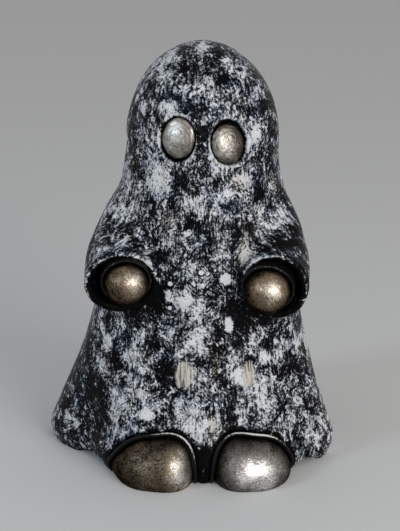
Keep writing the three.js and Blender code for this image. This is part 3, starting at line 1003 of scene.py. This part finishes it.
dabbed_clay = finish("dabbed_clay", dabbed_paint, 0.12, Specular_IOR_Level=0.04)
put(robe, "painted_clay", dabbed_clay, "robe", "right_sleeve", "left_sleeve")

# Eyes
# Domed oval buttons of clay, a little smaller than their sockets, pressed in and stuck with slip. They are
# brushed with silver in small swirls, brightest at a painted highlight and painted darker away from it.
button = {"width": 9.5, "height": 11.2, "bulge": 2.6, "rim": 0.9}
# How far each is off its socket's middle, how it leans up and left, and its painted highlight's spot and
# brightness
seats = {
    "right": {"off": (0.1, 0.45), "lean": (2, -5), "spot": (-0.1, 0.1), "bright": 1.12},
    "left": {"off": (-0.1, -0.35), "lean": (7, 8), "spot": (-0.42, 0.0), "bright": 0.7},
}


def metal_paint(name, bright, mellow, dark, roughness, streaky):
    """Metallic paint over black: a painted highlight, mellow round it, and painted shade dark away from it."""

    def paint(tree, place):
        brushed = node(tree, "Attribute", {}, attribute_name="brushed").outputs["Vector"]
        strokes = grain(tree, brushed, 0.45, detail=3, rough=0.7, warp=0.3)
        clouds = grain(tree, place, 3, detail=3, rough=0.6)
        kept_and_lit = figure(tree, "MULTIPLY_ADD", strokes, streaky, clouds)
        # Painted light: bright at the painted highlight, darker as painted shade away from it
        painted_light_term = figure(tree, "SUBTRACT", stored(tree, "painted_light"), streaky / 2 + 0.5)
        kept_and_lit = figure(tree, "ADD", kept_and_lit, painted_light_term)
        worn_and_shaded = tint(tree, ramp(tree, kept_and_lit, -0.3, 0.55), (*dark, 1), (*mellow, 1))
        colour = tint(tree, ramp(tree, kept_and_lit, 0.5, 1.3), worn_and_shaded, (*bright, 1))
        return colour, figure(tree, "MULTIPLY_ADD", strokes, -0.2, roughness + 0.1), strokes

    return finish(name, paint, 0.09, Metallic=1, Specular_Tint=(*dark, 1))


def brush_and_light_on(mesh, painted_light, brushed):
    """Notes each point's painted light and where it lies along and across the brush strokes, in mm."""
    keep(mesh, "painted_light", painted_light)
    strokes = mesh.attributes.new("brushed", "FLOAT_VECTOR", "POINT")
    strokes.data.foreach_set("vector", (brushed * mm).astype(np.float32).ravel())


def facing(mesh, way, sharp):
    """1 where the surface faces a way, falling off the faster the sharper."""
    return np.clip(normals_of(mesh) @ np.array(Vector(way).normalized()), 0, 1) ** sharp


brushed_silver = metal_paint(
    "brushed_silver",
    bright=(0.68, 0.67, 0.65),
    mellow=(0.3, 0.28, 0.255),
    dark=(0.08, 0.066, 0.055),
    roughness=0.34,
    streaky=2.8,
)
for side in eyes:
    bm = bmesh.new()
    bmesh.ops.create_uvsphere(bm, u_segments=72, v_segments=48, radius=1)
    # The upper half becomes the dome and its rim, and the lower half the rim's wall and a flat back
    for v in bm.verts:
        lift = button["rim"] + (button["bulge"] - button["rim"]) * max(v.co.z, 0)
        v.co.z = lift if v.co.z > 0 else lift * max(0, 1 + v.co.z * 3)
        v.co.z += slack - socket["depth"]
        v.co.x *= button["width"] / 2
        v.co.y *= button["height"] / 2
    bmesh.ops.remove_doubles(bm, verts=bm.verts, dist=0.01)
    piece = lump(f"{side}_eye_button", bm)
    flat = points_of(piece.data)[:, :2]
    seat = seats[side]
    # Painted light: brightest at the highlight spot, painted darker towards the button's edge
    from_spot = flat / (button["width"] / 2, button["height"] / 2) - seat["spot"]
    radius = np.hypot(flat[:, 0], flat[:, 1])
    swirl = np.column_stack((radius, flat / np.maximum(radius, 0.1)[:, None] * 1.2))
    painted_light = seat["bright"] - 0.9 * np.hypot(from_spot[:, 0], from_spot[:, 1])
    brush_and_light_on(piece.data, painted_light, swirl)
    lean = Euler([math.radians(turn) for turn in (-seat["lean"][0], seat["lean"][1], 0)]).to_matrix().to_4x4()
    piece.data.transform(eye_place(side) @ Matrix.Translation((*seat["off"], 0)) @ lean)
    knead(piece.data, depth=0.1, size=2.5)
    put(piece, "silver_paint", brushed_silver, f"{side}_eye")

# Arms
# Rolls of black clay luted inside the sleeves. Each ends in a cup whose ring holds the hand, and the ring's
# edge is rubbed a little grey.


def bare_paint(tree, place):
    """Black clay, with grey rubbed through on its proud edges, and a painted highlight along the hem coils."""
    dents = grain(tree, place, 0.7, detail=3, rough=0.6)
    scuffs = grain(tree, place, 0.8, detail=4, rough=0.7, warp=0.5)
    rubbed_and_lit = ramp(tree, figure(tree, "MULTIPLY_ADD", scuffs, 1.2, stored(tree, "rubbed_and_lit")), 1.0, 1.45)
    colour = tint(tree, rubbed_and_lit, (0.004, 0.0036, 0.0034, 1), (0.75, 0.73, 0.7, 1))
    return colour, figure(tree, "MULTIPLY_ADD", rubbed_and_lit, 0.15, 0.34), dents


bare_clay = finish("bare_clay", bare_paint, 0.1, Specular_IOR_Level=0.12)


def hand_ball(sleeve, subdivisions, margin):
    """Ball of the hand, swollen by a margin."""
    bm = bmesh.new()
    radius = sleeve["hand"]["diameter"] / 2 + margin
    place = Matrix.Translation(hand_middle(sleeve))
    bmesh.ops.create_icosphere(bm, subdivisions=subdivisions, radius=radius, matrix=place)
    return bm


for name, sleeve in sleeves.items():
    arm = work(
        lump(f"{name}_arm_roll", arm_tube(sleeve, margin=0)),
        [
            ("DIFFERENCE", lump("cup", hand_ball(sleeve, 5, margin=slack))),
            ("DIFFERENCE", lump("body", robe_skin(inset=-slack, sides=144, ring_gap=2))),
        ],
        voxel=0.3,
        smoothing=3,
    )
    knead(arm.data, depth=0.08, size=3)
    wrist = np.array(hand_middle(sleeve) - facing_of(sleeve) * cup_depth)
    away = points_of(arm.data) - wrist
    ahead = away @ np.array(facing_of(sleeve))
    from_edge = np.hypot(ahead, np.sqrt((away**2).sum(1) - ahead**2) - arm_radius(sleeve, 0))
    keep(arm.data, "rubbed_and_lit", 0.4 * fading(from_edge, full=0.1, gone=0.8))
    put(arm, "black_clay", bare_clay, f"{name}_arm")

# Hands
# Balls rolled between the palms, never quite round, held in the rings of the arms. They are brushed with
# bronze, with a painted highlight on the side towards the lamp and painted shade darker towards their edges.
brushed_bronze = metal_paint(
    "brushed_bronze",
    bright=(0.66, 0.59, 0.5),
    mellow=(0.19, 0.142, 0.098),
    dark=(0.02, 0.014, 0.01),
    roughness=0.35,
    streaky=2.2,
)
hand_highlight_ways = {"right": (0.5, -0.78, 0.38), "left": (0.2, -0.92, 0.34)}
hand_strokes = (1, 1, 0.6)
for name, sleeve in sleeves.items():
    piece = lump(f"{name}_hand_ball", hand_ball(sleeve, 6, margin=0))
    # Painted light: a highlight where the ball faces the lamp, darker away from it
    painted_light = facing(piece.data, hand_highlight_ways[name], sharp=3)
    brush_and_light_on(piece.data, painted_light, points_of(piece.data) * hand_strokes)
    knead(piece.data, depth=0.1, size=4)
    put(piece, "bronze_paint", brushed_bronze, f"{name}_hand")

# Feet
# Eggs of clay with flat soles, set under the arches of the hem. One is brushed with old gold and one with
# pewter, and both carry a painted highlight where they bulge towards the lamp, with painted shade away from
# it.
old_gold = metal_paint(
    "old_gold",
    bright=(0.93, 0.88, 0.82),
    mellow=(0.2, 0.16, 0.115),
    dark=(0.014, 0.012, 0.01),
    roughness=0.4,
    streaky=1.8,
)
bright_pewter = metal_paint(
    "bright_pewter",
    bright=(0.85, 0.84, 0.83),
    mellow=(0.2, 0.182, 0.165),
    dark=(0.02, 0.018, 0.016),
    roughness=0.42,
    streaky=1.8,
)
foot_metals_and_highlight_ways = {"right": (old_gold, (0.72, -0.68, 0.14)), "left": (bright_pewter, (0.3, -0.95, 0.14))}
foot_strokes = (0.7, 1, 1)
for name, foot in feet.items():
    metal, way = foot_metals_and_highlight_ways[name]
    piece = work(lump(f"{name}_foot_egg", egg(foot)), [("DIFFERENCE", lump("table", table_block()))])
    # Painted light: a highlight where the foot faces the lamp, darker away from it
    painted_light = 1.1 * facing(piece.data, way, sharp=3)
    brush_and_light_on(piece.data, painted_light, points_of(piece.data) * foot_strokes)
    put(piece, "pewter_paint", metal, f"{name}_foot")

# Hem rolls
# Thin coils of black clay that trim the hem over each foot, laid in a groove of the robe, rubbed bright along
# the top and given there a painted highlight where they face up towards the lamp.
coil_top = (0.35, -0.55, 0.75)
for name, foot in feet.items():
    coil = lump(f"{name}_hem_coil", roll_tube(foot, roll_thick))
    piece = work(coil, [("DIFFERENCE", lump("table", table_block()))])
    # Rubbed wear and a painted highlight along the top, where the coil faces up towards the lamp
    keep(piece.data, "rubbed_and_lit", 1.2 * facing(piece.data, coil_top, sharp=6))
    put(piece, "black_clay", bare_clay, f"{name}_hem_roll")

# Floor and light
# A plain pale table top in a pale room. One large soft lamp stands at the front right, and a small cool one
# at the left, like a window, which the metallic paint mirrors as a second bright spot.
floor_shape = bmesh.new()
bmesh.ops.create_grid(floor_shape, x_segments=1, y_segments=1, size=3)
floor = lump("table_top", floor_shape)
floor_paint = bpy.data.materials.new("pale_table")
floor_paint.use_nodes = True
table_shader = floor_paint.node_tree.nodes["Principled BSDF"]
table_shader.inputs["Base Color"].default_value = (0.72, 0.72, 0.72, 1)
table_shader.inputs["Roughness"].default_value = 0.8
floor.data.materials.append(floor_paint)

# The walls look paler, and mirror paler, than the light they give
wall_light = 0.4
wall_paleness = 0.45
world = bpy.data.worlds.new("studio")
world.use_nodes = True
room = world.node_tree
rays = room.nodes.new("ShaderNodeLightPath")
seen = figure(room, "MAXIMUM", rays.outputs["Is Camera Ray"], rays.outputs["Is Glossy Ray"])
seen = figure(room, "MAXIMUM", seen, rays.outputs["Is Transmission Ray"])
strength = figure(room, "MULTIPLY_ADD", seen, wall_paleness, wall_light)
link(room, room.nodes["Background"].inputs["Color"], (0.9, 0.9, 0.9, 1))
link(room, room.nodes["Background"].inputs["Strength"], strength)
bpy.context.scene.world = world


def lamp(name, place, size, level, colour):
    """A square lamp that gives a white sheet facing it a share, level, of full white."""
    aim = Vector((0, 0, 60)) * mm
    made = bpy.data.objects.new(name, bpy.data.lights.new(name, "AREA"))
    made.location = Vector(place) * mm
    made.rotation_euler = (aim - made.location).to_track_quat("-Z", "Y").to_euler()
    made.data.size = size * mm
    made.data.energy = level * (math.pi * (aim - made.location).length) ** 2
    made.data.color = colour
    bpy.context.scene.collection.objects.link(made)


lamp("key", (390, -550, 310), size=420, level=0.5, colour=(1, 0.98, 0.95))
lamp("window", (-500, -330, 380), size=120, level=0.18, colour=(0.72, 0.86, 1))
bpy.context.scene.view_settings.view_transform = "Standard"
